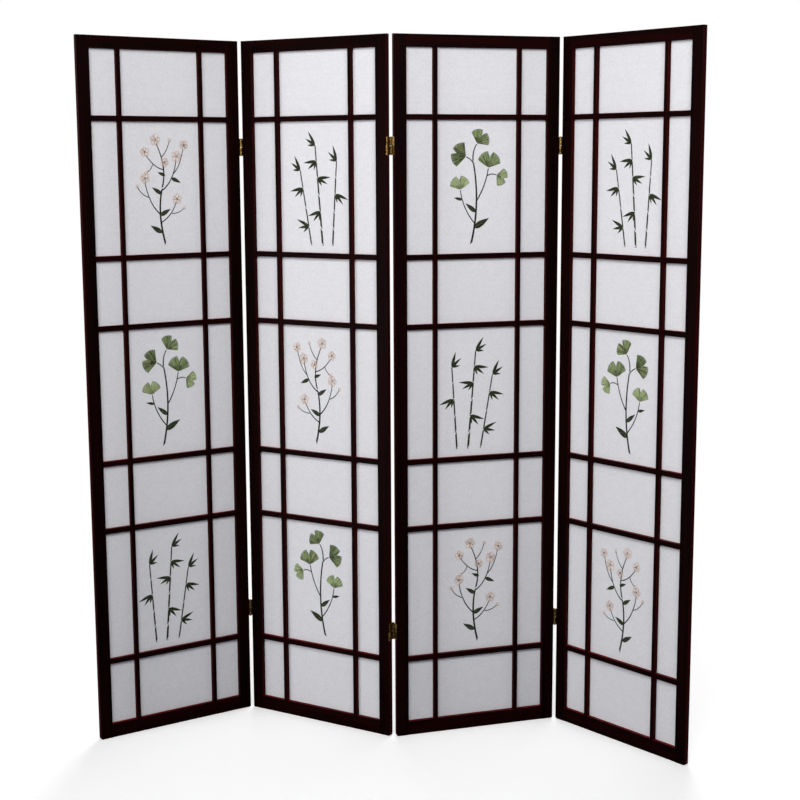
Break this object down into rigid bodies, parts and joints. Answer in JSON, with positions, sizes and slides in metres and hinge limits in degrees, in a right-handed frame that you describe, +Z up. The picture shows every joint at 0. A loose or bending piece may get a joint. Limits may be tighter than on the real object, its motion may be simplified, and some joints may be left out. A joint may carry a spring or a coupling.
{
  "type": "folding screen",
  "caption": "Four-panel folding screen with dark wood lattice frames, cloth backing, embroidered plants and double-action hinges.",
  "frame": {"origin": "centre of the standing screen's box, on the floor", "axes": "+X to the right of someone who faces the front, +Y from front to back, +Z up"},
  "size_m": [1.5092, 0.4302, 1.8],
  "materials": {
    "wood": "dark cherry stain under satin lacquer",
    "cloth": "plain woven cloth, matt",
    "thread": "embroidery thread, soft sheen",
    "brass": "antique brass plating"
  },
  "bodies": {
    "panel_1": {"panel_1_left_stile": "wood", "panel_1_right_stile": "wood", "panel_1_top_rail": "wood", "panel_1_bottom_rail": "wood", "panel_1_uprights": "wood", "panel_1_crossbars": "wood", "panel_1_cloth": "cloth", "panel_1_backing_strips": "wood", "panel_1_embroidery": "thread", "panel_1_hinge_pins": "brass", "panel_1_hinge_screws": "brass", "panel_1_right_hinge_plates": "brass", "fold_1_upper_links": "brass"},
    "panel_2": {"panel_2_left_stile": "wood", "panel_2_right_stile": "wood", "panel_2_top_rail": "wood", "panel_2_bottom_rail": "wood", "panel_2_uprights": "wood", "panel_2_crossbars": "wood", "panel_2_cloth": "cloth", "panel_2_backing_strips": "wood", "panel_2_embroidery": "thread", "panel_2_hinge_pins": "brass", "panel_2_hinge_screws": "brass", "panel_2_right_hinge_plates": "brass", "panel_2_left_hinge_plates": "brass", "fold_1_lower_links": "brass", "fold_2_lower_links": "brass"},
    "panel_3": {"panel_3_left_stile": "wood", "panel_3_right_stile": "wood", "panel_3_top_rail": "wood", "panel_3_bottom_rail": "wood", "panel_3_uprights": "wood", "panel_3_crossbars": "wood", "panel_3_cloth": "cloth", "panel_3_backing_strips": "wood", "panel_3_embroidery": "thread", "panel_3_hinge_pins": "brass", "panel_3_hinge_screws": "brass", "panel_3_right_hinge_plates": "brass", "panel_3_left_hinge_plates": "brass", "fold_2_upper_links": "brass", "fold_3_upper_links": "brass"},
    "panel_4": {"panel_4_left_stile": "wood", "panel_4_right_stile": "wood", "panel_4_top_rail": "wood", "panel_4_bottom_rail": "wood", "panel_4_uprights": "wood", "panel_4_crossbars": "wood", "panel_4_cloth": "cloth", "panel_4_backing_strips": "wood", "panel_4_embroidery": "thread", "panel_4_hinge_pins": "brass", "panel_4_hinge_screws": "brass", "panel_4_left_hinge_plates": "brass", "fold_3_lower_links": "brass"}
  },
  "joints": [
    {"name": "first_fold", "type": "hinge", "parent": "panel_2", "child": "panel_1", "pos_m": [-0.38005, 0.19461, 0], "axis": [0, 0, 1], "range_deg": [-64.3, 114.7]},
    {"name": "second_fold", "type": "hinge", "parent": "panel_2", "child": "panel_3", "pos_m": [0.01694, -0.00924, 0], "axis": [0, 0, 1], "range_deg": [-48.2, 130.8]},
    {"name": "third_fold", "type": "hinge", "parent": "panel_3", "child": "panel_4", "pos_m": [0.44639, 0.11212, 0], "axis": [0, 0, -1], "range_deg": [-66.5, 112.5]}
  ]
}
